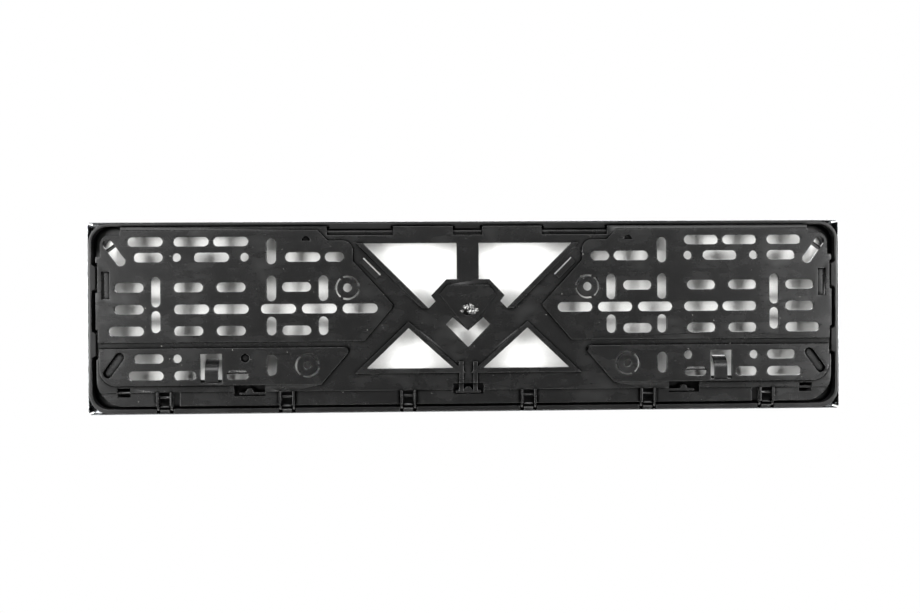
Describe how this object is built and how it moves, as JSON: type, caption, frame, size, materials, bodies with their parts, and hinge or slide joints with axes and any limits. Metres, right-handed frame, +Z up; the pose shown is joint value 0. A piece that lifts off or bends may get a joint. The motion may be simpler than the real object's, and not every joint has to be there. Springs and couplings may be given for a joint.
{
  "type": "number plate holder",
  "caption": "Folding number plate holder: slotted black base panel with an X web, hinged rim frame and folded polished sheet trim, to clamp a plate on a car.",
  "frame": {"origin": "middle of the holder on the mounting face that lies against the car", "axes": "+X to the right as seen from the car side, +Y out of the car towards the plate, +Z up"},
  "size_m": [0.533, 0.0135, 0.135],
  "materials": {
    "base_panel": "black moulded plastic, dusty, with light scuffs",
    "front_frame": "black moulded plastic",
    "steel_trim": "polished stainless sheet"
  },
  "bodies": {
    "base": {"base_panel": "base_panel"},
    "front": {"front_frame": "front_frame", "steel_trim": "steel_trim"}
  },
  "joints": [
    {"name": "front_fold", "type": "hinge", "parent": "base", "child": "front", "pos_m": [0, 0.0042, -0.0632], "axis": [-1, 0, 0], "range_deg": [0, 90]}
  ]
}
